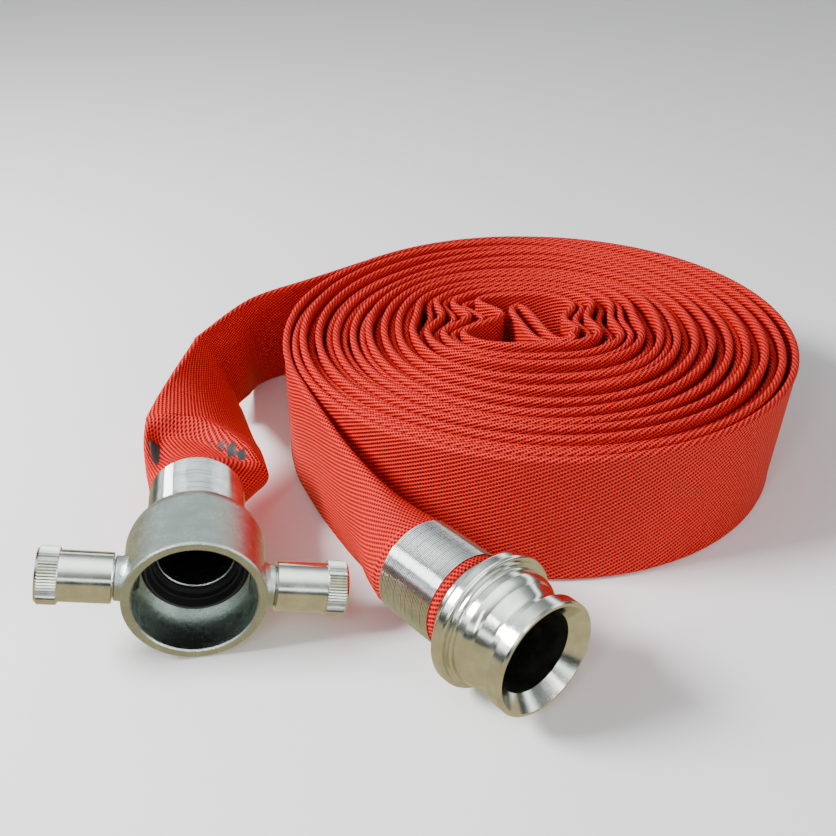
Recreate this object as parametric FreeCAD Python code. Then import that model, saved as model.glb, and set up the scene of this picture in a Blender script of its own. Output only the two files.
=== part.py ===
import FreeCAD, Part

import math
import os

# A layflat fire hose, doubled and rolled up, with an instantaneous coupling on each end.
# Millimetres. The origin is on the floor, on the roll's axis, and +Z is up.

Vector = FreeCAD.Vector
UP = Vector(0, 0, 1)

# The hose
FLAT_WIDTH = 106.0  # the hose lying flat
STRAND_PITCH = 7.0  # from one layer of the roll to the next
STRAND_HALF_THICKNESS = 3.3
JACKET_OUTER_R = 34.2  # the jacket where a tail fills it
JACKET_THICKNESS = 1.6
LINING_THICKNESS = 0.8

# The roll: two strands wound side by side, each leaving the roll at its own azimuth in degrees
ROLL_CENTRE_Y = -2.5
ROLL_OUTER_R = 219.0  # middle of the outermost layer where it leaves the roll
FEMALE_LEAVES_AT = 130.0
MALE_LEAVES_AT = 205.0
OUTLINE_STEP = 30.0

# Both couplings lie on the floor, with their axes level
COUPLING_AXIS_Z = 48.0
TAIL_R = 31.8
TAIL_TOOTH_R = 31.3
TAIL_END = 127.0  # from the coupling's face to the tail's back end
TAIL_TOOTH_LENGTH = 5.5
TAIL_TEETH = 8
WIRE_THICKNESS = 1.3

FEMALE_FACE = Vector(-251.6, -291.0, COUPLING_AXIS_Z)
FEMALE_HEADING = -8.8  # degrees from +Y, from the face towards the hose
FEMALE_ROLL = 11.5  # how far the right lug is turned down
FEMALE_BODY_R = 48.0
SEAL_WALL = 38.5  # the mouth's back wall, which the male nose comes up to
SEAL_OPENING_R = 37.0
SEAL_GROOVE_R = 40.5
SEAL_GROOVE_FROM, SEAL_GROOVE_TO = 40.5, 46.0
SEAL_SLEEVE_R = 33.0
SEAL_END = 51.5
FEMALE_MOUTH_R = 41.3
FEMALE_WATERWAY_R = 26.5
FEMALE_SHOULDER_END = 77.5
FEMALE_WIRE_FROM, FEMALE_WIRE_TO = 78.6, 125.6

MALE_FACE = Vector(-27.0, -351.5, COUPLING_AXIS_Z)
MALE_HEADING = -39.0
MALE_NOSE_R = 40.5
MALE_WATERWAY_R = 28.8
MALE_FLANGE_R = 48.0
MALE_SHOULDER_END = 64.0
MALE_JACKET_FROM = 66.0
MALE_WIRE_FROM, MALE_WIRE_TO = 72.0, 122.6

# A lug, measured outward from the coupling's axis
LUG_BACK = 21.7  # behind the female face
BOSS_FROM, BOSS_TO = 44.0, 53.0
BOSS_R = 15.0
TOOTH_HOLE_R = 9.0
LEDGE = 45.0
HOUSING_R = 12.5
HOUSING_BORE_R = 10.0
HOUSING_WALL_FROM, HOUSING_END = 72.0, 76.0
GUIDE_HOLE_R = 4.1
SHANK_R = 4.0
SHANK_END = 95.0
RUNNING_GAP = 0.1
CLEAR_GAP = 0.3
TOOTH_TIP = 36.5
TOOTH_ROOT = 42.0
COLLAR_END = 48.5
SPRING_WIRE_R = 0.8
SPRING_MEAN_R = 7.3
SPRING_TURNS = 7
KNOB_FROM, KNOB_END = 53.6, 102.5
KNOB_SKIRT_R = 17.1
KNOB_BORE_R = 12.9
KNOB_BORE_END = 78.0
RIM_FROM, RIM_TO = 88.0, 100.3
RIM_R = 19.3
RIM_GROOVE_DEPTH = 0.8
RIM_RIDGES = 60
SCREW_HEAD_R = 5.6
SCREW_SEAT = 98.5
SCREW_R = 2.5

# The hose's free ends, from the roll to the tail. Each section is the hose's upper edge, its lower edge,
# and half the thickness between its two faces.
FEMALE_SECTIONS = [
    (Vector(-204, 110, 106), Vector(-218, 133, 0), 3.4),
    (Vector(-243, 81, 106), Vector(-259, 107, 0), 3.6),
    (Vector(-262, 57, 106), Vector(-267, 79, 2), 4.0),
    (Vector(-291, -6, 104), Vector(-266, 15, 18), 6.0),
    (Vector(-311, -70, 89), Vector(-246, -53, 32), 9.0),
    (Vector(-321, -94, 75), Vector(-237, -80, 38), 13.0),
    (Vector(-321, -114, 63), Vector(-229, -102, 43), 19.0),
    (Vector(-313, -145, 54), Vector(-220, -137, 46), 27.0),
]
MALE_SECTIONS = [
    (Vector(-181, -124, 102), Vector(-181, -126, 0), 4.0),
    (Vector(-165, -156, 96), Vector(-165, -158, 0), 8.0),
    (Vector(-149, -185, 91), Vector(-149, -187, 0), 13.0),
    (Vector(-133, -210, 87), Vector(-133, -212, 2), 19.0),
    (Vector(-120, -233, 83), Vector(-120, -234, 8), 27.0),
]
SECTION_POINTS = 16
FLAT_SECTION_POWER = 5.0  # a flat section's corners are this square, where 2 is an ellipse


def revolved(points, axis=UP):
    """A solid turned about Z. A point is (radius, z), and an arc is a pair of points, its middle and its end."""
    edges = []
    here = points[0]
    for step in [*points[1:], points[0]]:
        if isinstance(step[0], tuple):
            middle, end = step
            arc = Part.Arc(Vector(here[0], 0, here[1]), Vector(middle[0], 0, middle[1]), Vector(end[0], 0, end[1]))
            edges.append(arc.toShape())
        else:
            end = step
            edges.append(Part.makeLine(Vector(here[0], 0, here[1]), Vector(end[0], 0, end[1])))
        here = end
    face = Part.Face(Part.Wire(edges))
    return face.revolve(Vector(0, 0, 0), axis, 360)


def tube(inner_r, outer_r, low, high):
    """A plain ring about Z."""
    return revolved([(inner_r, low), (outer_r, low), (outer_r, high), (inner_r, high)])


def placed(shape, origin, x_axis, z_axis):
    """A copy of a shape, moved from the world's axes to an origin with these X and Z axes."""
    y_axis = z_axis.cross(x_axis)
    matrix = FreeCAD.Matrix(
        x_axis.x, y_axis.x, z_axis.x, origin.x,
        x_axis.y, y_axis.y, z_axis.y, origin.y,
        x_axis.z, y_axis.z, z_axis.z, origin.z,
        0, 0, 0, 1,
    )
    moved = shape.copy()
    moved.Placement = FreeCAD.Placement(matrix).multiply(shape.Placement)
    return moved


def heading_vector(degrees):
    """A level direction, in degrees from +Y, positive towards +X."""
    return Vector(math.sin(math.radians(degrees)), math.cos(math.radians(degrees)), 0)


FEMALE_AXIS = heading_vector(FEMALE_HEADING)
FEMALE_RIGHT = (
    FEMALE_AXIS.cross(UP) * math.cos(math.radians(FEMALE_ROLL)) - UP * math.sin(math.radians(FEMALE_ROLL))
)
MALE_AXIS = heading_vector(MALE_HEADING)
MALE_RIGHT = MALE_AXIS.cross(UP)


def on_female(shape):
    """Places a shape made about Z, with the female face at 0, the hose at +Z and the right lug at +X."""
    return placed(shape, FEMALE_FACE, FEMALE_RIGHT, FEMALE_AXIS)


def on_male(shape):
    return placed(shape, MALE_FACE, MALE_RIGHT, MALE_AXIS)


def on_lug(shape, side):
    """Turns a shape made about Z, outward along +Z, on to a lug in the female coupling's frame."""
    return placed(shape, Vector(0, 0, LUG_BACK), Vector(0, 0, 1), Vector(side, 0, 0))


def serrated_tail(start):
    """The outline of a tail's outside, from its root at `start` to its back end, as saw teeth."""
    points = [(TAIL_R, start)]
    first = TAIL_END - TAIL_TEETH * TAIL_TOOTH_LENGTH
    for tooth in range(TAIL_TEETH):
        z = first + tooth * TAIL_TOOTH_LENGTH
        points += [(TAIL_R, z), (TAIL_TOOTH_R, z)]
    return [*points, (TAIL_R, TAIL_END)]


def female_body():
    """Mouth, rounded shoulder and tail in one casting, with a boss for each lug."""
    body = revolved([
        (FEMALE_MOUTH_R + 1.0, 0.0),
        (FEMALE_BODY_R - 1.2, 0.0),
        (FEMALE_BODY_R, 1.2),
        (FEMALE_BODY_R, 55.0),
        ((44.8, 65.8), (36.6, 75.6)),
        (36.2, FEMALE_SHOULDER_END),
        *serrated_tail(FEMALE_SHOULDER_END),
        (FEMALE_WATERWAY_R, TAIL_END),
        (FEMALE_WATERWAY_R, SEAL_END + 0.7),
        (FEMALE_WATERWAY_R + 0.7, SEAL_END),
        (SEAL_SLEEVE_R, SEAL_END),
        (SEAL_SLEEVE_R, SEAL_GROOVE_TO),
        (SEAL_GROOVE_R, SEAL_GROOVE_TO),
        (SEAL_GROOVE_R, SEAL_GROOVE_FROM),
        (SEAL_OPENING_R, SEAL_GROOVE_FROM),
        (SEAL_OPENING_R, SEAL_WALL),
        (42.2, SEAL_WALL),
        (42.2, 12.0),
        (FEMALE_MOUTH_R, 11.0),
        (FEMALE_MOUTH_R, 1.0),
    ])
    boss = revolved([
        (0, BOSS_FROM), (18.0, BOSS_FROM), ((16.0, 46.6), (BOSS_R, 49.0)),
        (BOSS_R, BOSS_TO - 0.8), (BOSS_R - 0.8, BOSS_TO), (0, BOSS_TO),
    ])
    tooth_hole = Part.makeCylinder(TOOTH_HOLE_R, 30, Vector(0, 0, 30))
    thread = Part.makeCylinder(HOUSING_R, 20, Vector(0, 0, LEDGE))
    for side in (1, -1):
        body = body.fuse(on_lug(boss, side))
    for side in (1, -1):
        body = body.cut(on_lug(tooth_hole, side)).cut(on_lug(thread, side))
    return on_female(body.removeSplitter())


def female_seal():
    """A rubber ring in its groove, with a lip that closes on the bevel inside the male nose."""
    inner_r = FEMALE_WATERWAY_R + 0.7
    return on_female(revolved([
        (SEAL_GROOVE_R, SEAL_GROOVE_FROM), (SEAL_GROOVE_R, SEAL_GROOVE_TO), (SEAL_SLEEVE_R, SEAL_GROOVE_TO),
        (SEAL_SLEEVE_R, SEAL_END), (inner_r, SEAL_END), (inner_r, 49.0), (28.6, 46.5), (29.8, 46.5), (30.2, 42.0),
        (31.6, 42.0), (33.0, 36.2), ((33.8, 35.3), (34.8, 35.6)), (35.8, 38.0), (SEAL_OPENING_R, SEAL_WALL + 0.4),
        (SEAL_OPENING_R, SEAL_GROOVE_FROM),
    ]))


def male_body():
    """Nose, groove, bell, flange and tail in one casting."""
    return on_male(revolved([
        (37.4, 0.0), (MALE_NOSE_R - 1.2, 0.0), (MALE_NOSE_R, 1.2), (MALE_NOSE_R, 9.7), (MALE_NOSE_R - 0.8, 10.5),
        (35.4, 11.2), ((34.5, 11.6), (34.2, 12.4)), (34.2, 18.0),
        ((34.33, 19.25), (34.72, 20.44)), (38.0, 27.8), ((40.2, 31.2), (41.3, 35.0)), (41.3, 40.0),
        ((41.7, 41.5), (43.2, 42.0)), (44.8, 42.0), (44.8, 44.4),
        (MALE_FLANGE_R - 2.4, 44.4), ((MALE_FLANGE_R - 0.6, 45.2), (MALE_FLANGE_R, 47.2)), (MALE_FLANGE_R, 51.4),
        ((MALE_FLANGE_R - 0.9, 53.8), (MALE_FLANGE_R - 3.4, 54.8)), (38.6, 56.0),
        ((36.8, 57.2), (36.2, 60.0)), (36.0, MALE_SHOULDER_END),
        *serrated_tail(MALE_SHOULDER_END),
        (MALE_WATERWAY_R, TAIL_END), (MALE_WATERWAY_R, 9.4),
    ]))


def lining(place, start):
    """The rubber tube inside the jacket, where it grips a tail."""
    return place(tube(TAIL_R, TAIL_R + LINING_THICKNESS, start, TAIL_END))


def binding(place, start, end):
    """The outer shape of a close wire binding over the jacket."""
    outer = JACKET_OUTER_R + WIRE_THICKNESS
    round_off = WIRE_THICKNESS / 2
    return place(revolved([
        (JACKET_OUTER_R, start), (outer - round_off, start), (outer, start + round_off),
        (outer, end - round_off), (outer - round_off, end), (JACKET_OUTER_R, end),
    ]))


def lug_housing(side):
    """A screwed-in tube that holds the spring, with a guide hole in its outer wall."""
    housing = revolved([
        (HOUSING_BORE_R, LEDGE), (HOUSING_R, LEDGE), (HOUSING_R, HOUSING_END - 1.0), (HOUSING_R - 1.0, HOUSING_END),
        (GUIDE_HOLE_R, HOUSING_END), (GUIDE_HOLE_R, HOUSING_WALL_FROM), (HOUSING_BORE_R, HOUSING_WALL_FROM),
    ])
    return on_female(on_lug(housing, side))


def lock_plunger(side):
    """The bevelled tooth, its collar and the shank that the knob pulls."""
    turned = revolved([
        (0, TOOTH_ROOT), (TOOTH_HOLE_R - RUNNING_GAP, TOOTH_ROOT), (TOOTH_HOLE_R - RUNNING_GAP, LEDGE + CLEAR_GAP),
        (HOUSING_BORE_R - RUNNING_GAP, LEDGE + CLEAR_GAP), (HOUSING_BORE_R - RUNNING_GAP, COLLAR_END),
        (SHANK_R, COLLAR_END), (SHANK_R, SHANK_END), (SCREW_R, SHANK_END), (SCREW_R, SHANK_END - 12),
        (0, SHANK_END - 12),
    ])
    half_width = 7.0
    half_height = 5.4
    # The tooth is drawn along the coupling's axis (X here, hose side positive) and outward (Z).
    outline = [
        (-half_height, TOOTH_ROOT), (-half_height, TOOTH_ROOT - 1.6), (-0.6, TOOTH_TIP),
        (half_height, TOOTH_TIP), (half_height, TOOTH_ROOT),
    ]
    points = [Vector(x, -half_width, z) for x, z in outline]
    tooth = Part.Face(Part.makePolygon([*points, points[0]])).extrude(Vector(0, 2 * half_width, 0))
    return on_female(on_lug(turned.fuse(tooth).removeSplitter(), side))


def lock_spring(side):
    """A round-wire compression spring between the plunger's collar and the housing's outer wall."""
    low = COLLAR_END + SPRING_WIRE_R + 0.05
    height = HOUSING_WALL_FROM - SPRING_WIRE_R - 0.05 - low
    helix = Part.makeLongHelix(height / SPRING_TURNS, height, SPRING_MEAN_R)
    wire_start = Part.makeCircle(SPRING_WIRE_R, Vector(SPRING_MEAN_R, 0, 0), Vector(0, -1, 0))
    spring = Part.Wire(helix).makePipeShell([Part.Wire(wire_start)], True, True)
    spring.translate(Vector(0, 0, low))
    return on_female(on_lug(spring, side))


def pull_knob(side):
    """A cup that slides over the housing, with straight ridges round its outer rim."""
    plain = revolved([
        (KNOB_BORE_R, KNOB_FROM), (KNOB_SKIRT_R - 0.8, KNOB_FROM), (KNOB_SKIRT_R, KNOB_FROM + 0.8),
        (KNOB_SKIRT_R, RIM_FROM), (RIM_R - 0.9, RIM_FROM), (RIM_R, RIM_FROM + 0.9), (RIM_R, RIM_TO),
        (RIM_R - 2.2, KNOB_END), (SCREW_HEAD_R + 0.4, KNOB_END), (SCREW_HEAD_R + 0.4, SCREW_SEAT),
        (SCREW_R + 0.2, SCREW_SEAT), (SCREW_R + 0.2, SHANK_END), (GUIDE_HOLE_R, SHANK_END),
        (GUIDE_HOLE_R, KNOB_BORE_END), (KNOB_BORE_R, KNOB_BORE_END),
    ])
    star = []
    for step in range(2 * RIM_RIDGES):
        radius = RIM_R - RIM_GROOVE_DEPTH * (step % 2)
        turn = math.pi * step / RIM_RIDGES
        star.append(Vector(radius * math.cos(turn), radius * math.sin(turn), KNOB_FROM))
    ridges = Part.Face(Part.makePolygon([*star, star[0]])).extrude(Vector(0, 0, KNOB_END - KNOB_FROM))
    return on_female(on_lug(plain.common(ridges), side))


def knob_screw(side):
    """The socket-head screw that holds the knob on the shank."""
    head_top = SCREW_SEAT + 3.0
    screw = revolved([
        (0, SHANK_END - 10), (SCREW_R, SHANK_END - 10), (SCREW_R, SCREW_SEAT), (SCREW_HEAD_R, SCREW_SEAT),
        (SCREW_HEAD_R, head_top - 0.8), (SCREW_HEAD_R - 0.8, head_top), (0, head_top),
    ])
    corners = [Vector(2.0 * math.cos(math.radians(60 * k)), 2.0 * math.sin(math.radians(60 * k)), head_top - 2.0)
               for k in range(7)]
    socket = Part.Face(Part.makePolygon(corners)).extrude(Vector(0, 0, 3))
    return on_female(on_lug(screw.cut(socket), side))


def roll_point(azimuth, radius, z=0.0):
    angle = math.radians(azimuth)
    return Vector(radius * math.cos(angle), radius * math.sin(angle) + ROLL_CENTRE_Y, z)


def strand_radius(azimuth, strands_in):
    """The middle of a layer. The roll holds two strands, so it grows by two pitches in a turn."""
    growth = 2 * STRAND_PITCH * (FEMALE_LEAVES_AT - azimuth) / 360
    return ROLL_OUTER_R - growth - strands_in * STRAND_PITCH


def spiral_arcs(start, end, strands_in):
    """The outer edge of a strand from one azimuth to another, as arcs."""
    count = math.ceil((end - start) / OUTLINE_STEP)
    half = STRAND_PITCH / 2
    angles = [start + (end - start) * k / (2 * count) for k in range(2 * count + 1)]
    points = [roll_point(a, strand_radius(a, strands_in) + half) for a in angles]
    arcs = [Part.Arc(*points[k:k + 3]).toShape() for k in range(0, 2 * count, 2)]
    return arcs, points[0], points[-1]


def hose_roll():
    """The roll's outer shape: the female strand is outermost up to where it leaves, then the male strand."""
    female_arcs, female_start, female_end = spiral_arcs(MALE_LEAVES_AT - 360, FEMALE_LEAVES_AT, 0)
    male_arcs, male_start, male_end = spiral_arcs(FEMALE_LEAVES_AT, MALE_LEAVES_AT, 1)
    steps = [Part.makeLine(female_end, male_start), Part.makeLine(male_end, female_start)]
    outline = Part.Wire([*female_arcs, steps[0], *male_arcs, steps[1]])
    return Part.Face(outline).extrude(Vector(0, 0, FLAT_WIDTH))


def section_wire(centre, half_width, half_thickness, power):
    """A closed outline with SECTION_POINTS corners, from an ellipse (power 2) to nearly a rectangle."""
    corners = []
    for step in range(SECTION_POINTS):
        turn = 2 * math.pi * step / SECTION_POINTS
        across = math.copysign(abs(math.cos(turn)) ** (2 / power), math.cos(turn))
        through = math.copysign(abs(math.sin(turn)) ** (2 / power), math.sin(turn))
        corners.append(centre + half_width * across + half_thickness * through)
    return Part.makePolygon([*corners, corners[0]])


def bend_radii(route):
    """The largest arc that each corner of a route has room for."""
    radii = []
    for before, here, after in zip(route, route[1:], route[2:]):
        run_in = here - before
        run_out = after - here
        turn = run_in.getAngle(run_out)
        radii.append(round(0.45 * min(run_in.Length, run_out.Length) / math.tan(turn / 2)))
    return radii


def hose_end(name, leaves_at, strands_in, sections, place, face, axis, side_axis, jacket_from):
    """A free end: flat on its edge where it leaves the roll, round where it goes over the tail."""
    start = roll_point(leaves_at, strand_radius(leaves_at, strands_in), FLAT_WIDTH / 2)
    outward = roll_point(leaves_at, 1.0) - roll_point(leaves_at, 0.0)
    wires = [section_wire(start, UP * (FLAT_WIDTH / 2), outward * STRAND_HALF_THICKNESS, FLAT_SECTION_POWER)]
    tail_end = face + axis * TAIL_END
    route = [start, *[(top + bottom) * 0.5 for top, bottom, _ in sections], tail_end]
    fullest = JACKET_OUTER_R
    for number, (top, bottom, half_thickness) in enumerate(sections, start=1):
        along = route[number + 1] - route[number - 1]
        half_width = (top - bottom) * 0.5
        through = half_width.cross(along)
        through.normalize()
        if through.dot(outward) < 0:
            through = through * -1
        outward = Vector(through)
        fullness = half_thickness / fullest
        power = FLAT_SECTION_POWER + (2 - FLAT_SECTION_POWER) * min(1, fullness * 1.5)
        wires.append(section_wire(route[number], half_width, through * half_thickness, power))
    across = side_axis * fullest
    through = axis.cross(side_axis) * fullest
    if through.dot(outward) < 0:
        through = through * -1
    wires.append(section_wire(tail_end, across, through, 2))
    free = Part.makeLoft(wires, True, True)
    sleeve = place(tube(JACKET_OUTER_R - JACKET_THICKNESS, JACKET_OUTER_R, jacket_from, TAIL_END))
    whole = free.fuse(sleeve).removeSplitter()
    runs = [(b - a).Length for a, b in zip(route, route[1:])]
    print(name, "free length", round(sum(runs)), "runs", [round(r) for r in runs], "radii", bend_radii(route))
    print(name, "valid", whole.isValid(), "solids", len(whole.Solids), "volume", round(whole.Volume))
    return whole


def hose_end_female():
    # The hose's upper edge comes round to the coupling's left.
    return hose_end("hose_end_female", FEMALE_LEAVES_AT, 0, FEMALE_SECTIONS, on_female, FEMALE_FACE,
                    FEMALE_AXIS, FEMALE_AXIS.cross(UP) * -1, FEMALE_SHOULDER_END)


def hose_end_male():
    return hose_end("hose_end_male", MALE_LEAVES_AT, 1, MALE_SECTIONS, on_male, MALE_FACE,
                    MALE_AXIS, UP, MALE_JACKET_FROM)


def build():
    nodes = {
        "hose_roll": hose_roll(),
        "hose_end_female": hose_end_female(),
        "hose_end_male": hose_end_male(),
        "hose_lining_female": lining(on_female, FEMALE_SHOULDER_END),
        "hose_lining_male": lining(on_male, MALE_JACKET_FROM),
        "female_body": female_body(),
        "female_seal": female_seal(),
        "female_binding_wire": binding(on_female, FEMALE_WIRE_FROM, FEMALE_WIRE_TO),
        "male_body": male_body(),
        "male_binding_wire": binding(on_male, MALE_WIRE_FROM, MALE_WIRE_TO),
    }
    for name, side in (("left", -1), ("right", 1)):
        nodes[name + "_lug_housing"] = lug_housing(side)
        nodes[name + "_lock_plunger"] = lock_plunger(side)
        nodes[name + "_lock_spring"] = lock_spring(side)
        nodes[name + "_pull_knob"] = pull_knob(side)
        nodes[name + "_knob_screw"] = knob_screw(side)
    return nodes


def main():
    os.makedirs("parts", exist_ok=True)
    for name, shape in build().items():
        box = shape.BoundBox
        print(f"{name:22s} solids {len(shape.Solids)} valid {shape.isValid()} volume {shape.Volume / 1000:9.2f} cm3 "
              f"z {box.ZMin:7.2f} to {box.ZMax:7.2f}")
        shape.exportStep(os.path.join("parts", name + ".step"))


main()
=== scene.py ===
import math

import bpy
import numpy as np
from mathutils import Matrix, Vector


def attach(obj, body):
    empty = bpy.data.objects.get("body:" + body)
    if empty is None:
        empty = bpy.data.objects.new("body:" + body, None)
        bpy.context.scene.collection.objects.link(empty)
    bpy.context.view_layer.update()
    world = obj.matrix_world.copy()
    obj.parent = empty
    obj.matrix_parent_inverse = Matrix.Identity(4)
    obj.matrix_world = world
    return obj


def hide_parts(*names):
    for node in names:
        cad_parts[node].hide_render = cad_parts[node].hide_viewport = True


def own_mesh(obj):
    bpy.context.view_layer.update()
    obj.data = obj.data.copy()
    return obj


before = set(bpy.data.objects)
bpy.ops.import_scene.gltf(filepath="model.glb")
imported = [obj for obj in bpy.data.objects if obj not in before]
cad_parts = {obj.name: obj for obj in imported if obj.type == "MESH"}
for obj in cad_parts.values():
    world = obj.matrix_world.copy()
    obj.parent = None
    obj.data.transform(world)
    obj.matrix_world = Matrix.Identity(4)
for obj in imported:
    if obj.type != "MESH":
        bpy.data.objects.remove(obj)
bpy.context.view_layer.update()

# A rolled fire hose and its two couplings, in metres. The origin is on the floor, on the roll's axis.

# Camera
CAMERA_AT = (-0.1031, -0.8565, 0.5138)
CAMERA_DOWN = 30.14  # degrees below level, looking along +Y
CAMERA_TILT = -0.89  # degrees about the line of sight
CAMERA_LENS = 47.34

# The hose
FLAT_WIDTH = 0.106
PERIMETER = 2 * FLAT_WIDTH
EDGE_R = 0.0031  # the doubled edge of the flattened jacket
FACE_HALF = 0.0024  # half the thickness of the flattened jacket between its edges
SLEEVE_R = 0.0342  # the jacket's outside where a coupling's tail fills it
JACKET_THICKNESS = 0.0024  # with the lining
WEAVE_ALONG = (-140.0, 333.0)  # repeats of the weave's two rib directions in a metre along the hose
WEAVE_ROUND = (66, 64)  # and once round it
YARN_GAP_PAINTED_SHADE = (0.03, 0.0002, 0.0002, 1)  # the yarn's colours, as linear light: the gap colour is painted shade, the side colour is the yarn's own red, and the crown colour is a painted highlight
YARN_SIDE = (0.42, 0.004, 0.003, 1)
YARN_CROWN_PAINTED_HIGHLIGHT = (0.95, 0.016, 0.008, 1)
ROLL_FACE_PLACES = [0.0085]  # corners on the flattened jacket's face, down from its upper edge
END_FACE_PLACES = [0.0085, 0.015, 0.022, 0.029, 0.036, 0.0445]
HOLLOW_PAST_TAIL = 0.06  # how far past a tail the hose is hollow

# The roll
CENTRE_Y = -0.0025
OUTER_R = 0.219
STRAND_PITCH = 0.007
FEMALE_LEAVES_AT = 130.0
MALE_LEAVES_AT = 205.0
FEMALE_CORD_FROM = 50.0
MALE_CORD_FROM = 95.0
INNER_TURN = 130 + 60 + 360 * 11  # how far strand A turns, in degrees, before the fold in the middle
STRAND_RISE = (-0.001, 0.0045)  # how far each strand stands up out of the roll
TIGHTENING = 0.0061  # how much closer the inner turns lie than the outer pitch would give

# The turns in the middle of the roll: flatter front to back, moved a little, and dented at the left and right
MIDDLE_R, MIDDLE_SPAN = 0.05, 0.10  # full effect up to this radius, none this much further out
MIDDLE_SHIFT = (-0.008, 0.0165)
MIDDLE_STRETCH = 0.075
DENT_R, DENT_SPAN = 0.046, 0.062
DENT_HALF_WIDTH = 0.036
LEFT_DENT, LEFT_DENT_Y = 0.044, 0.023
RIGHT_DENT, RIGHT_DENT_Y = 0.018, 0.014
FOLD_POINTS = [(0.020, -0.034), (0.002, -0.031), (-0.006, -0.018), (-0.013, 0.008), (-0.020, 0.037),
               (-0.012, 0.045), (-0.005, 0.035), (0.002, 0.008), (0.010, -0.020), (0.016, -0.027),
               (0.030, -0.027)]
FOLD_RISE = 0.002

# The gap that the outermost layer leaves at the back right, and how far the foot stands in at the right
OUTER_GAP = 0.010
OUTER_GAP_HEADING = 30  # degrees from +X towards +Y
OUTER_GAP_ALONG = (0.90, 0.45)
FOOT_SHIFT = 0.0125

# The couplings
FEMALE_FACE = np.array([-0.2516, -0.2910, 0.048])
FEMALE_HEADING = -8.8
FEMALE_ROLL = 11.5
MALE_FACE = np.array([-0.0270, -0.3515, 0.048])
MALE_HEADING = -39.0
TAIL_END = 0.127
FEMALE_JACKET_FROM = 0.078
MALE_JACKET_FROM = 0.066
LUG_BACK = 0.0217
HOUSING_WALL = 0.072
COLLAR_END = 0.0485
BINDING_WIRE_R = 0.00053
BINDING_PITCH = 0.00136
# each binding's two ends, in metres from the coupling's face, and the turns that a wider gap follows
FEMALE_BINDING = (0.0793, 0.1249, (4, 9, 17, 20, 28, 31))
MALE_BINDING = (0.0727, 0.1219, (5, 11, 16, 19, 24, 29, 33))
BINDING_LEAST_GAP = 0.0002  # the least that each of the wider gaps in a binding adds
SPRING_R = 0.0073
SPRING_WIRE_R = 0.0008
SPRING_TURNS = 7
SPRING_END_GAP = 0.00085  # from a seat to the middle of the spring's wire
SIDES = (("left", -1), ("right", 1))
SHARP_EDGE = 28  # degrees between a CAD node's faces

# The free ends: the hose's upper edge, its lower edge, and half its thickness
FEMALE_CORNERS = (4, 6, 8)  # the numbers of the sections where it is creased right across
FEMALE_SECTIONS = [
    ((-0.204, 0.110, 0.106), (-0.218, 0.133, 0.000), 0.0034),
    ((-0.243, 0.081, 0.106), (-0.259, 0.107, 0.000), 0.0036),
    ((-0.262, 0.057, 0.106), (-0.267, 0.079, 0.002), 0.0040),
    ((-0.291, -0.006, 0.104), (-0.266, 0.015, 0.018), 0.0060),
    ((-0.311, -0.070, 0.089), (-0.246, -0.053, 0.032), 0.0090),
    ((-0.321, -0.094, 0.075), (-0.237, -0.080, 0.038), 0.0130),
    ((-0.321, -0.114, 0.063), (-0.229, -0.102, 0.043), 0.0190),
    ((-0.313, -0.145, 0.054), (-0.220, -0.137, 0.046), 0.0270),
]
MALE_SECTIONS = [
    ((-0.181, -0.124, 0.102), (-0.181, -0.126, 0.000), 0.0040),
    ((-0.165, -0.156, 0.096), (-0.165, -0.158, 0.000), 0.0080),
    ((-0.149, -0.185, 0.091), (-0.149, -0.187, 0.000), 0.0130),
    ((-0.133, -0.210, 0.087), (-0.133, -0.212, 0.002), 0.0190),
    ((-0.120, -0.233, 0.083), (-0.120, -0.234, 0.008), 0.0270),
]


def heading(degrees):
    return np.array([math.sin(math.radians(degrees)), math.cos(math.radians(degrees)), 0.0])


UP = np.array([0.0, 0.0, 1.0])
FEMALE_AXIS = heading(FEMALE_HEADING)
FEMALE_RIGHT = (np.cross(FEMALE_AXIS, UP) * math.cos(math.radians(FEMALE_ROLL))
                - UP * math.sin(math.radians(FEMALE_ROLL)))
MALE_AXIS = heading(MALE_HEADING)
MALE_RIGHT = np.cross(MALE_AXIS, UP)


def add_camera():
    data = bpy.data.cameras.new("camera")
    data.lens = CAMERA_LENS
    data.sensor_width = 36
    camera = bpy.data.objects.new("camera", data)
    bpy.context.scene.collection.objects.link(camera)
    down = Matrix.Rotation(math.radians(90 - CAMERA_DOWN), 4, "X")
    turned = down @ Matrix.Rotation(math.radians(CAMERA_TILT), 4, "Z")
    camera.matrix_world = Matrix.Translation(CAMERA_AT) @ turned
    bpy.context.scene.camera = camera


# ---------------------------------------------------------------- shapes


def smooth(t):
    t = np.clip(t, 0, 1)
    return t * t * (3 - 2 * t)


def wander(along, spacing, seed, size):
    """A smooth random line: a value for each place along, between -size and size."""
    values = np.random.default_rng(seed).uniform(-1, 1, 400)
    place = np.asarray(along, float) / spacing + 100
    whole = np.floor(place).astype(int)
    t = smooth(place - whole)
    return size * (values[whole % 400] * (1 - t) + values[(whole + 1) % 400] * t)


def nurbs_points(points, samples):
    """Points along an order 3 curve that has these control points."""
    data = bpy.data.curves.new("route", "CURVE")
    data.dimensions = "3D"
    spline = data.splines.new("NURBS")
    spline.points.add(len(points) - 1)
    for control, point in zip(spline.points, points):
        control.co = (*point, 1)
    spline.order_u = 3
    spline.use_endpoint_u = True
    data.resolution_u = samples
    route = bpy.data.objects.new("route", data)
    mesh = bpy.data.meshes.new_from_object(route)
    line = np.array([v.co for v in mesh.vertices], float)
    bpy.data.meshes.remove(mesh)
    bpy.data.objects.remove(route)
    bpy.data.curves.remove(data)
    return line


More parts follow.
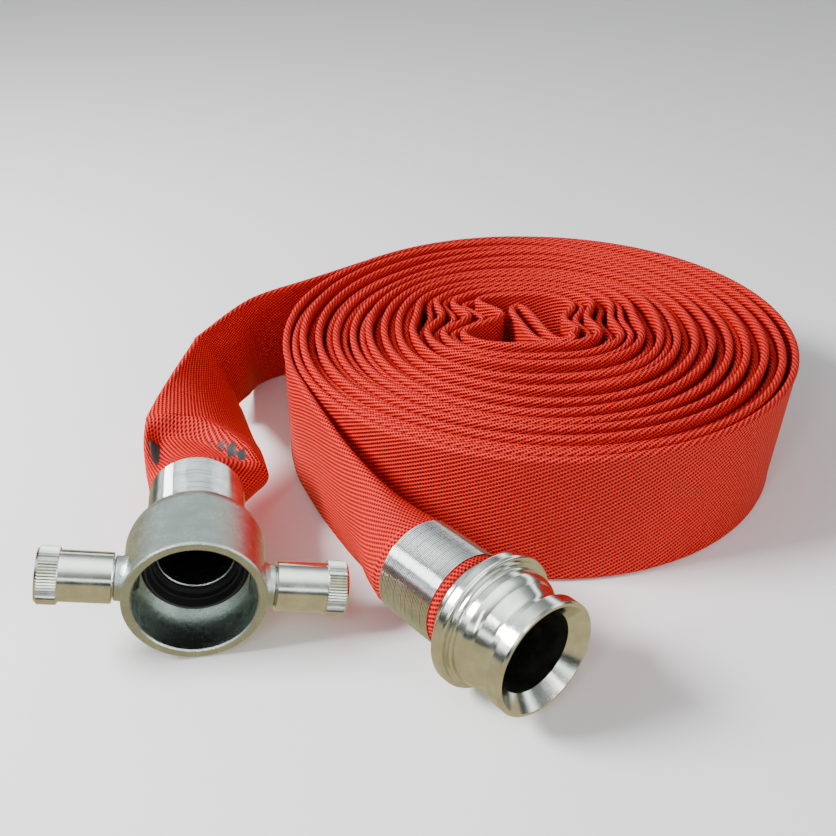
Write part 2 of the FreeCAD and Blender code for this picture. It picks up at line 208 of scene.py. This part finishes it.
class Section:
    """The flattened jacket's section, with corners at these places down from its upper edge."""

    def __init__(self, face_places):
        edge = [(EDGE_R * (1 - math.cos(a)), EDGE_R * math.sin(a)) for a in np.radians([0, 30, 60, 90, 115])]
        face = [(place, FACE_HALF) for place in (*face_places, FLAT_WIDTH / 2)]
        upper = np.array([*edge, *face])
        half = np.concatenate([upper, upper[-2::-1] * [-1, 1] + [FLAT_WIDTH, 0]])
        lengths = np.linalg.norm(np.diff(half, axis=0), axis=1)
        share = np.concatenate([[0], np.cumsum(lengths)]) / (2 * lengths.sum())
        across = FLAT_WIDTH / 2 - half[:, 0]
        # each point's share of the way round from the upper edge, and its place across and through the hose
        self.places = np.concatenate([share, 1 - share[-2:0:-1]])
        self.across = np.concatenate([across, across[-2:0:-1]])
        self.through = np.concatenate([half[:, 1], -half[-2:0:-1, 1]])

    def ellipse(self, half_width, half_thickness):
        """An ellipse's points at the same shares of the way round."""
        turn = np.linspace(0, 2 * math.pi, 361)
        x, y = half_width * np.cos(turn), half_thickness * np.sin(turn)
        run = np.concatenate([[0], np.cumsum(np.hypot(np.diff(x), np.diff(y)))])
        run /= run[-1]
        return np.interp(self.places, run, x), np.interp(self.places, run, y)

    def filled(self, width, half_thickness, roundness):
        """Across and through for a hose that is partly filled out: a lens, turning into an ellipse."""
        across = self.across * (width / FLAT_WIDTH)
        bulge = max(half_thickness - EDGE_R, 0) * (1 - (2 * across / width) ** 2)
        through = self.through + bulge * np.sign(self.through)
        if roundness > 0:
            round_across, round_through = self.ellipse(width / 2, half_thickness)
            across = across + (round_across - across) * roundness
            through = through + (round_through - through) * roundness
        return across, through


def run_of(line):
    """How far along a line each of its points is."""
    return np.concatenate([[0], np.cumsum(np.linalg.norm(np.diff(line, axis=0), axis=1))])


def frames(top, bottom):
    """The middle, width, width direction and face direction of a row of sections."""
    middle = (top + bottom) / 2
    ahead = np.gradient(middle, axis=0)
    width = np.linalg.norm(top - bottom, axis=1)
    w = (top - bottom) / width[:, None]
    n = np.cross(w, ahead)
    return middle, width, w, n / np.linalg.norm(n, axis=1)[:, None]


def add_piece(name, vertices, faces):
    """A smooth mesh with flat ends, its last two faces, that rides on the hose's body."""
    mesh = bpy.data.meshes.new(name)
    mesh.from_pydata(vertices, [], faces)
    mesh.polygons.foreach_set("use_smooth", [True] * (len(faces) - 2) + [False] * 2)
    mesh.update()
    obj = bpy.data.objects.new(name, mesh)
    bpy.context.scene.collection.objects.link(obj)
    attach(obj, "hose")
    return obj


def mesh_tube(name, section, rings, along, lining_from=None):
    """A hose as a mesh. Its UV map is in metres: along the hose, and round it from the upper edge.

    From the ring with the number lining_from on, the faces take the object's second material.
    """
    rings = np.array(rings)
    count, round_count = rings.shape[:2]
    faces, uvs = [], []
    vs = np.append(section.places, 1.0) * PERIMETER
    for k in range(count - 1):
        for j in range(round_count):
            following = (j + 1) % round_count
            faces.append((k * round_count + j, (k + 1) * round_count + j,
                          (k + 1) * round_count + following, k * round_count + following))
            uvs += [(along[k], vs[j]), (along[k + 1], vs[j]),
                    (along[k + 1], vs[j + 1]), (along[k], vs[j + 1])]
    for end, order in ((0, 1), (count - 1, -1)):
        faces.append([end * round_count + j for j in range(round_count)][::order])
        uvs += [(along[end], 0.0)] * round_count
    obj = add_piece(name, rings.reshape(-1, 3).tolist(), faces)
    layer = obj.data.uv_layers.new(name="hose")
    layer.data.foreach_set("uv", np.array(uvs, np.float32).ravel())
    if lining_from is not None:
        outer_faces = lining_from * round_count
        inner_faces = len(faces) - 2 - outer_faces
        obj.data.polygons.foreach_set("material_index", [0] * outer_faces + [1] * inner_faces + [0, 1])
    return obj


# ---------------------------------------------------------------- the roll


def layer_radius(turn):
    """The mean radius of a layer, from how far it is wound in from strand A's outer end, in degrees."""
    return OUTER_R - 2 * STRAND_PITCH * turn / 360 - TIGHTENING * (turn / INNER_TURN) ** 2


def edges(azimuth, strand):
    """The upper and lower edges of strand 0 (A) or 1 (B) at these azimuths, in degrees."""
    azimuth = np.atleast_1d(np.asarray(azimuth, float))
    turn = FEMALE_LEAVES_AT - azimuth
    wound = turn + 180 * strand
    wavering = wander(wound * (1 + 0.13 * strand), 70, 3 + strand, 0.0009) * smooth(wound / 200 - 0.6)
    q = layer_radius(wound) + wavering
    a = np.radians(azimuth)
    x, y = middle_shape(q, a)
    # the outermost layer leaves a gap at the back right, and every layer's foot stands in at the right
    inside = np.clip((q - MIDDLE_R) / 0.15, 0, 1)
    outermost = (strand == 0) & (turn > 20) & (turn < 220)
    facing_gap = np.clip(np.cos(a - np.radians(OUTER_GAP_HEADING)), 0, 1) ** 2
    gap = np.where(outermost, 0, OUTER_GAP * facing_gap * inside)
    x_top = x - OUTER_GAP_ALONG[0] * gap
    y_top = y - OUTER_GAP_ALONG[1] * gap
    x_bottom = x - FOOT_SHIFT * np.clip(np.cos(a), 0, 1) ** 1.5 * inside
    # each strand stands up out of the roll once it is well inside
    rise = STRAND_RISE[strand] + wander(wound * (1 + 0.2 * strand), 75, 11 + strand, 0.0024)
    rise = rise * smooth((wound - 105) / 50)
    top = np.stack([x_top, y_top, FLAT_WIDTH + rise], axis=1)
    bottom = np.stack([x_bottom, y, np.clip(rise, 0, 1)], axis=1)
    return top, bottom


def middle_shape(q, a):
    """Where a layer of mean radius q lies at the angle a: round outside, flat and dented in the middle."""
    inner = 1 - smooth((q - MIDDLE_R) / MIDDLE_SPAN)
    power = 2 / (2 + 0.8 * inner)
    round_x = np.sign(np.cos(a)) * np.abs(np.cos(a)) ** power
    round_y = np.sign(np.sin(a)) * np.abs(np.sin(a)) ** power
    x = MIDDLE_SHIFT[0] * inner + q * (1 + MIDDLE_STRETCH * inner) * round_x
    y = CENTRE_Y + MIDDLE_SHIFT[1] * inner + q * (1 - MIDDLE_STRETCH * inner) * round_y
    depth = np.clip(1 - (q - DENT_R) / DENT_SPAN, 0, 1) ** 1.3
    left = smooth(-np.cos(a) * 3) * np.clip(1 - np.abs(y - LEFT_DENT_Y) / DENT_HALF_WIDTH, 0, 1)
    right = smooth(np.cos(a) * 3) * np.clip(1 - np.abs(y - RIGHT_DENT_Y) / DENT_HALF_WIDTH, 0, 1)
    return x + LEFT_DENT * depth * smooth(left) - RIGHT_DENT * depth * smooth(right), y


def azimuths(start, end, strand):
    """Azimuths in steps that suit the layer's radius."""
    found = [start]
    sign = 1 if end > start else -1
    while (end - found[-1]) * sign > 0:
        q = layer_radius(FEMALE_LEAVES_AT - found[-1] + 180 * strand)
        step = 0.0065 if q > 0.11 else 0.0034
        found.append(found[-1] + sign * math.degrees(step / q))
    found[-1] = end
    return np.array(found)


def fold(before, after):
    """The fold at the hose's middle, between the inner ends of the two strands."""
    tops = [*before[0], *[(x, y, FLAT_WIDTH + FOLD_RISE) for x, y in FOLD_POINTS], *after[0]]
    bottoms = [*before[1], *[(x, y, FOLD_RISE) for x, y in FOLD_POINTS], *after[1]]
    return nurbs_points(tops, 8), nurbs_points(bottoms, 8)


def hose_roll():
    """The wound part of the hose, from strand A's outer end to strand B's. Gives back its length."""
    section = Section(ROLL_FACE_PLACES)
    inner = FEMALE_LEAVES_AT - INNER_TURN
    in_top, in_bottom = edges(azimuths(FEMALE_CORD_FROM, inner, 0), 0)
    out_top, out_bottom = edges(azimuths(inner + 10, MALE_CORD_FROM, 1), 1)
    fold_top, fold_bottom = fold((in_top[-2:], in_bottom[-2:]), (out_top[:2], out_bottom[:2]))
    top = np.concatenate([in_top[:-2], fold_top, out_top[2:]])
    bottom = np.concatenate([in_bottom[:-2], fold_bottom, out_bottom[2:]])
    along = run_of((top + bottom) / 2)
    rings = [m + np.outer(section.across * (width / FLAT_WIDTH), w) + np.outer(section.through, n)
             for m, width, w, n in zip(*frames(top, bottom))]
    obj = mesh_tube("hose_in_roll", section, rings, along)
    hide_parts("hose_roll")
    print("hose in the roll", round(float(along[-1]), 2), "m in", len(top), "sections")
    return along[-1]


# ---------------------------------------------------------------- the free ends


def with_corners(values, corners):
    """The control points again, with those at these numbers doubled, which makes a corner there."""
    return [value for number, value in enumerate(values) for _ in range(2 if number in corners else 1)]


def free_end(cord_from, leaves_at, strand, sections, corners, creases, face, axis, side, jacket_from):
    """One free end's rings and path, from inside the roll's outer turn to the coupling's shoulder.

    `corners` are the numbers of the sections, from 1, where the hose is creased right across.
    """
    start_top, start_bottom = edges(np.arange(cord_from, leaves_at + 0.1, 5.0), strand)
    tops = [*start_top, *[np.array(s[0]) for s in sections]]
    bottoms = [*start_bottom, *[np.array(s[1]) for s in sections]]
    filling = [(EDGE_R, 0, 0)] * len(start_top)
    for number, (_, _, half) in enumerate(sections, start=1):
        roundness = min(1, max(0, (half - 0.008) / 0.02))
        filling.append((half, roundness, number))
    sleeve_places = [TAIL_END, 0.5 * (TAIL_END + jacket_from), jacket_from]
    for number, place in enumerate(sleeve_places, start=len(sections) + 1):
        tops.append(face + axis * place + side * SLEEVE_R)
        bottoms.append(face + axis * place - side * SLEEVE_R)
        filling.append((SLEEVE_R, 1, number))
    middles = [(t + b) / 2 for t, b in zip(tops, bottoms)]
    corners = {len(start_top) + c - 1 for c in corners} | {len(start_top) + len(sections)}
    top, bottom, filled, path = (nurbs_points(with_corners(points, corners), 12)
                                 for points in (tops, bottoms, filling, middles))
    section = Section(END_FACE_PLACES)
    rings = []
    for m, width, w, n, (half, roundness, number) in zip(*frames(top, bottom), filled):
        across, through = section.filled(width, half, roundness)
        if creases:
            through = through + creases(number, across * 2 / width, np.sign(through))
        rings.append(m + np.outer(across, w) + np.outer(through, n))
    return section, rings, path


def lined(rings, face, axis):
    """The hose's inside: smaller rings, from its end at the coupling back to a little past the tail."""
    inside = []
    for ring in rings[::-1]:
        middle = ring.mean(axis=0)
        if (middle - face) @ axis > TAIL_END + HOLLOW_PAST_TAIL:
            break
        inside.append(middle + (ring - middle) * (1 - JACKET_THICKNESS / SLEEVE_R))
    return inside


def finish_end(name, section, rings, path, from_metre, face, axis, replaced):
    along = run_of(path) + from_metre
    inside = lined(rings, face, axis)
    inside_along = along[:-len(inside) - 1:-1]
    obj = mesh_tube(name, section, [*rings, *inside], [*along, *inside_along], lining_from=len(rings) - 1)
    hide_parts(replaced)


def female_creases(number, across, face):
    """How far the female end's faces stand out along the section's face direction.

    `number` is the section's, `across` runs from -1 at the lower edge to 1 at the upper one, and `face` is
    1 on the visible face and -1 on the other.
    """
    # a panel that is tucked in behind the next one
    tucked = smooth(number - 3.0) * (number < 3.999)
    tuck = -0.013 * tucked * (1 - ((across + 0.2) / 1.2) ** 2)
    # a fold line that runs down and forward over the visible face, with a hollow below it
    fold_across = [-1, -0.93, -0.65, -0.36, 0.04, 0.44, 1]
    fold_number = [7.9, 7.85, 7.55, 6.9, 6.15, 5.9, 6.1]
    past = number - np.interp(across, fold_across, fold_number)
    rise = 0.003 * np.clip(1 + past / 1.4, 0, 1)
    fall = 0.016 * smooth(past / 0.7)
    inside_edges = smooth((1 - np.abs(across)) * 4)
    return tuck + (face > 0) * inside_edges * (rise - fall) * np.clip((9.0 - number) / 1.4, 0, 1)


# ---------------------------------------------------------------- wire


def wire(name, centre, x_axis, z_axis, radius, wire_r, winding, corners=8):
    """Round wire wound about an axis. `winding` is a list of turns and a list of places along the axis."""
    y_axis = np.cross(z_axis, x_axis)
    vertices, faces = [], []
    for turn, place in zip(*winding):
        a = 2 * math.pi * turn
        out = x_axis * math.cos(a) + y_axis * math.sin(a)
        here = centre + z_axis * place + out * radius
        for c in range(corners):
            b = 2 * math.pi * c / corners
            vertices.append(tuple(here + wire_r * (math.cos(b) * out + math.sin(b) * z_axis)))
    steps = len(winding[0]) - 1
    for k in range(steps):
        for c in range(corners):
            d = (c + 1) % corners
            faces.append((k * corners + c, k * corners + d, (k + 1) * corners + d, (k + 1) * corners + c))
    faces.append(list(range(corners))[::-1])
    faces.append([steps * corners + c for c in range(corners)])
    return add_piece(name, vertices, faces)


def spring_winding(start, end, turns):
    """Evenly spaced turns."""
    steps = np.linspace(0, 1, turns * 24 + 1)
    return steps * turns, start + (end - start) * steps


def binding_winding(start, end, wide_gaps):
    """Close turns that fill the length, with a wider gap after these turns."""
    turns = int((end - start - BINDING_LEAST_GAP * len(wide_gaps)) / BINDING_PITCH)
    steps = np.linspace(0, turns, turns * 64 + 1)
    gaps = sum(smooth((steps - after) * 2) for after in wide_gaps)
    spare = (end - start - turns * BINDING_PITCH) / len(wide_gaps)
    return steps, start + steps * BINDING_PITCH + gaps * spare


# ---------------------------------------------------------------- materials


class Shader:
    """A material's node tree, with short calls for its nodes."""

    def __init__(self, name):
        self.material = bpy.data.materials.new(name)
        self.material.use_nodes = True
        self.tree = self.material.node_tree
        self.tree.nodes.clear()
        self.out = self.tree.nodes.new("ShaderNodeOutputMaterial")
        self.surface = self.tree.nodes.new("ShaderNodeBsdfPrincipled")
        self.link(self.surface.outputs[0], self.out.inputs[0])

    def link(self, source, target):
        self.tree.links.new(source, target)

    def put(self, target, value):
        if hasattr(value, "is_output"):
            self.link(value, target)
        else:
            target.default_value = value

    def set(self, **values):
        for name, value in values.items():
            self.put(self.surface.inputs[name.replace("_", " ")], value)

    def node(self, kind, *values, **settings):
        made = self.tree.nodes.new(kind)
        for name, value in settings.items():
            setattr(made, name, value)
        for target, value in zip(made.inputs, values):
            if value is not None:
                self.put(target, value)
        return made

    def math(self, operation, *values):
        return self.node("ShaderNodeMath", *values, operation=operation).outputs[0]

    def noise(self, scale, detail=2.0, roughness=0.5):
        made = self.node("ShaderNodeTexNoise")
        made.inputs["Scale"].default_value = scale
        made.inputs["Detail"].default_value = detail
        made.inputs["Roughness"].default_value = roughness
        self.link(self.node("ShaderNodeTexCoord").outputs["Object"], made.inputs["Vector"])
        return made.outputs[0]

    def mix(self, factor, first, second):
        made = self.tree.nodes.new("ShaderNodeMix")
        made.data_type = "RGBA"
        self.put(made.inputs["Factor"], factor)
        self.put(made.inputs[6], first)
        self.put(made.inputs[7], second)
        return made.outputs[2]

    def spread(self, value, low, high, to_low=0.0, to_high=1.0):
        return self.node("ShaderNodeMapRange", value, low, high, to_low, to_high).outputs[0]

    def bump(self, height, strength, distance):
        made = self.node("ShaderNodeBump")
        made.inputs["Strength"].default_value = strength
        made.inputs["Distance"].default_value = distance
        self.link(height, made.inputs["Height"])
        self.link(made.outputs[0], self.surface.inputs["Normal"])


def colour(red, green, blue):
    """A display colour from 0 to 255, as linear light."""
    linear = [((c / 255 + 0.055) / 1.055) ** 2.4 for c in (red, green, blue)]
    return (*linear, 1.0)


def woven_jacket():
    """Two families of ribs that cross. Their height sets both the colour and the bump: the colour is painted
    shade in the gaps between the ribs and a painted highlight on their crowns.
    """
    m = Shader("woven_jacket")
    u, v, _ = m.node("ShaderNodeSeparateXYZ", m.node("ShaderNodeUVMap", uv_map="hose").outputs[0]).outputs
    waves = []
    for per_metre, per_round in zip(WEAVE_ALONG, WEAVE_ROUND):
        run_along = m.math("MULTIPLY", u, per_metre)
        run_round = m.math("MULTIPLY", v, per_round / PERIMETER)
        waves.append(m.math("FRACT", m.math("ADD", run_along, run_round)))
    cosines = [m.math("COSINE", m.math("MULTIPLY", w, 2 * math.pi)) for w in waves]
    cross = m.math("COSINE", m.math("MULTIPLY", m.math("SUBTRACT", waves[1], waves[0]), 2 * math.pi))
    total = m.math("ADD", cosines[0], m.math("MULTIPLY", cosines[1], 0.6))
    total = m.math("ADD", total, m.math("MULTIPLY", cross, 0.4))
    height = m.spread(total, 2.0, -1.2)
    # painted shade darkens the gaps between the ribs, and a painted highlight lightens their crowns
    base = m.mix(m.spread(height, 0.1, 0.55), YARN_GAP_PAINTED_SHADE, YARN_SIDE)
    base = m.mix(m.spread(height, 0.55, 1.0), base, YARN_CROWN_PAINTED_HIGHLIGHT)
    m.set(Base_Color=base, Roughness=0.6, Specular_IOR_Level=0.18)
    m.bump(height, 1.0, 0.0010)
    return m.material


def rubber():
    m = Shader("rubber")
    grain = m.noise(900)
    m.set(Base_Color=m.mix(grain, colour(14, 14, 15), colour(30, 30, 31)),
          Roughness=m.spread(grain, 0, 1, 0.4, 0.55))
    m.bump(grain, 0.2, 0.0001)
    return m.material


def metal(name, light, dark, roughness, grain_scale, grain_depth):
    """Bare metal that wears between two colours. `roughness` is its least and its greatest."""
    m = Shader(name)
    grain = m.noise(grain_scale, 4.0, 0.6)
    wear = m.noise(90, 2.0, 0.5)
    low, high = roughness
    both = m.math("ADD", m.math("MULTIPLY", grain, 0.5), m.math("MULTIPLY", wear, 0.5))
    m.set(Base_Color=m.mix(m.spread(wear, 0.3, 0.7), dark, light), Metallic=1.0,
          Roughness=m.spread(both, 0.3, 0.7, low, high))
    m.bump(grain, grain_depth, 0.0002)
    return m.material


def paint(material, *names):
    """Gives pieces and CAD nodes a material, and makes the CAD nodes smooth."""
    for name in names:
        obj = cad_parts.get(name) or bpy.data.objects[name]
        obj.data.materials.clear()
        obj.data.materials.append(material)
        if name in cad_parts:
            obj.data.polygons.foreach_set("use_smooth", [True] * len(obj.data.polygons))


def smooth_by_angle(obj, degrees):
    """Keeps a CAD node's edges sharp where its faces meet at more than this angle."""
    modifier = obj.modifiers.new("edges", "EDGE_SPLIT")
    modifier.split_angle = math.radians(degrees)


# ---------------------------------------------------------------- surroundings


def add_floor():
    """A pale floor. Metal reflects it in a warmer, darker tone than it shows."""
    mesh = bpy.data.meshes.new("floor")
    mesh.from_pydata([(-8, -8, 0), (8, -8, 0), (8, 8, 0), (-8, 8, 0)], [], [(0, 1, 2, 3)])
    floor = bpy.data.objects.new("floor", mesh)
    bpy.context.scene.collection.objects.link(floor)
    m = Shader("floor")
    m.set(Base_Color=colour(250, 250, 250), Roughness=0.9)
    seen_in_metal = m.node("ShaderNodeEmission", (0.62, 0.54, 0.30, 1), 1.0).outputs[0]
    glossy = m.node("ShaderNodeLightPath").outputs["Is Glossy Ray"]
    both = m.node("ShaderNodeMixShader", glossy, m.surface.outputs[0], seen_in_metal)
    m.link(both.outputs[0], m.out.inputs[0])
    mesh.materials.append(m.material)


def add_light(name, place, aim, size, power):
    data = bpy.data.lights.new(name, "AREA")
    data.shape = "RECTANGLE"
    data.size, data.size_y = size
    data.energy = power
    light = bpy.data.objects.new(name, data)
    bpy.context.scene.collection.objects.link(light)
    light.location = place
    light.rotation_euler = (Vector(aim) - Vector(place)).to_track_quat("-Z", "Y").to_euler()


def add_world(strength, in_metal):
    """Even light from all round. In metal it looks like a dark room with a bright band and a bright ceiling.

    `in_metal` gives the brightness that metal reflects by height, from 0 at the horizon to 1 overhead.
    """
    world = bpy.data.worlds.new("studio")
    world.use_nodes = True
    tree = world.node_tree
    background = tree.nodes["Background"]
    background.inputs[0].default_value = (1, 1, 1, 1)
    background.inputs[1].default_value = strength
    place = tree.nodes.new("ShaderNodeTexCoord")
    split = tree.nodes.new("ShaderNodeSeparateXYZ")
    tree.links.new(place.outputs["Generated"], split.inputs[0])
    ramp = tree.nodes.new("ShaderNodeValToRGB")
    for stop, (height, level) in enumerate(in_metal):
        point = ramp.color_ramp.elements[stop] if stop < 2 else ramp.color_ramp.elements.new(height)
        point.position = height
        point.color = (0.88 * level, level, 0.97 * level, 1)
    tree.links.new(split.outputs[2], ramp.inputs[0])
    room = tree.nodes.new("ShaderNodeBackground")
    tree.links.new(ramp.outputs[0], room.inputs[0])
    ray = tree.nodes.new("ShaderNodeLightPath")
    choice = tree.nodes.new("ShaderNodeMixShader")
    tree.links.new(ray.outputs["Is Glossy Ray"], choice.inputs[0])
    tree.links.new(background.outputs[0], choice.inputs[1])
    tree.links.new(room.outputs[0], choice.inputs[2])
    tree.links.new(choice.outputs[0], tree.nodes["World Output"].inputs[0])
    bpy.context.scene.world = world


# ---------------------------------------------------------------- build

add_camera()

roll_length = hose_roll()

for name, face, side, axis, (start, end, wide_gaps) in (
        ("female_binding", FEMALE_FACE, FEMALE_RIGHT, FEMALE_AXIS, FEMALE_BINDING),
        ("male_binding", MALE_FACE, MALE_RIGHT, MALE_AXIS, MALE_BINDING)):
    binding = wire(name, face, side, axis, SLEEVE_R + BINDING_WIRE_R, BINDING_WIRE_R,
                   binding_winding(start, end, wide_gaps))
    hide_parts(name + "_wire")

section, rings, path = free_end(FEMALE_CORD_FROM, FEMALE_LEAVES_AT, 0, FEMALE_SECTIONS, FEMALE_CORNERS,
                                female_creases, FEMALE_FACE, FEMALE_AXIS, np.cross(UP, FEMALE_AXIS),
                                FEMALE_JACKET_FROM)
finish_end("hose_free_end_female", section, rings, path, 0, FEMALE_FACE, FEMALE_AXIS, "hose_end_female")
section, rings, path = free_end(MALE_CORD_FROM, MALE_LEAVES_AT, 1, MALE_SECTIONS, (), None,
                                MALE_FACE, MALE_AXIS, UP, MALE_JACKET_FROM)
finish_end("hose_free_end_male", section, rings, path, roll_length, MALE_FACE, MALE_AXIS, "hose_end_male")

for side, sign in SIDES:
    lug = FEMALE_RIGHT * sign
    foot = FEMALE_FACE + FEMALE_AXIS * LUG_BACK
    winding = spring_winding(COLLAR_END + SPRING_END_GAP, HOUSING_WALL - SPRING_END_GAP, SPRING_TURNS)
    spring = wire(side + "_spring", foot, FEMALE_AXIS, lug, SPRING_R, SPRING_WIRE_R, winding)
    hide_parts(side + "_lock_spring")
    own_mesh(spring)

jacket = woven_jacket()
black = rubber()
cast = metal("cast_aluminium", colour(186, 194, 190), colour(172, 180, 177), (0.22, 0.30), 1300, 1.2)
polished = metal("polished_aluminium", colour(226, 226, 220), colour(205, 204, 196), (0.10, 0.22), 700, 0.1)
machined = metal("machined_aluminium", colour(210, 212, 208), colour(186, 188, 184), (0.16, 0.28), 900, 0.15)
steel = metal("spring_steel", colour(180, 180, 182), colour(160, 160, 162), (0.2, 0.3), 900, 0.1)
bright_wire = metal("bright_wire", colour(216, 222, 222), colour(196, 202, 204), (0.08, 0.14), 300, 0.02)

paint(jacket, "hose_in_roll")
for name in ("hose_free_end_female", "hose_free_end_male"):
    for material in (jacket, black):
        bpy.data.objects[name].data.materials.append(material)
paint(black, "female_seal", "hose_lining_female", "hose_lining_male")
paint(cast, "female_body")
paint(polished, "male_body")
paint(bright_wire, "female_binding", "male_binding")
for side, _ in SIDES:
    paint(machined, side + "_lug_housing", side + "_lock_plunger")
    paint(polished, side + "_pull_knob")
    paint(steel, side + "_spring", side + "_knob_screw")

for name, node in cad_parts.items():
    if not node.hide_render:
        smooth_by_angle(node, SHARP_EDGE)

add_floor()
add_light("key", (-1.7, -0.3, 1.35), (-0.05, 0, 0.05), (0.8, 0.6), 94)
add_light("fill", (1.3, -1.7, 0.9), (0, 0, 0.05), (1.0, 0.8), 17)
add_light("strip", (-0.5, -1.3, 0.8), (-0.15, -0.2, 0.05), (0.10, 0.9), 4)
add_world(0.38, ((0.0, 0.3), (0.08, 0.03), (0.25, 0.2), (0.36, 3.4), (0.5, 0.15), (0.75, 0.7), (1.0, 4.0)))
